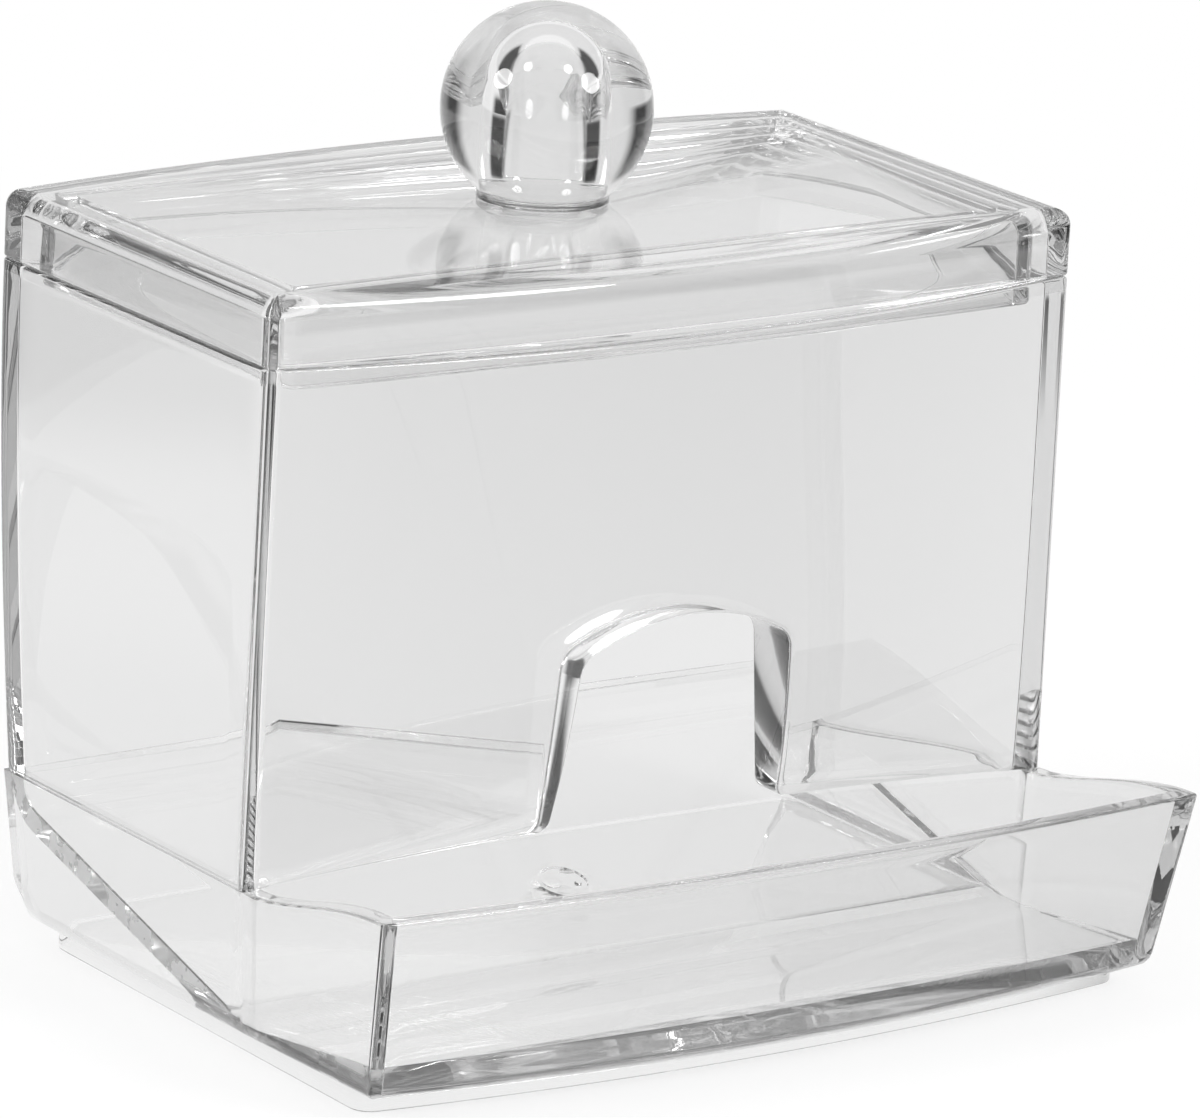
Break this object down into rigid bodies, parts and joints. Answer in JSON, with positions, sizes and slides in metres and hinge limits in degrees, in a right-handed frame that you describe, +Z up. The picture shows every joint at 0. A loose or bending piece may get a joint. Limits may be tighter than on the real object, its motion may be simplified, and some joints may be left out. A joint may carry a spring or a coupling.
{
  "type": "cotton swab storage box",
  "caption": "Clear box with a sloping floor and an arched mouth that feeds swabs to a low front tray, closed by a lift-off lid with a round knob.",
  "frame": {"origin": "on the resting plane, straight under the knob's axis", "axes": "+Z up, -Y towards the user (the tray side), +X to the right seen from the front"},
  "size_m": [0.0876, 0.073, 0.0864],
  "materials": {
    "clear_body": "clear gloss",
    "clear_lid": "clear gloss",
    "clear_knob": "clear gloss"
  },
  "bodies": {
    "box": {"hopper_box": "clear_body", "tray_base": "clear_body", "ramp_floor": "clear_body", "foot_plinth": "clear_body"},
    "lid": {"lid_cover": "clear_lid", "lid_rim": "clear_lid", "knob_ball": "clear_knob", "knob_stud": "clear_knob"}
  },
  "joints": [
    {"name": "lid_lift", "type": "slide", "parent": "box", "child": "lid", "axis": [0, 0, 1], "range_m": [0, 0.04]}
  ]
}
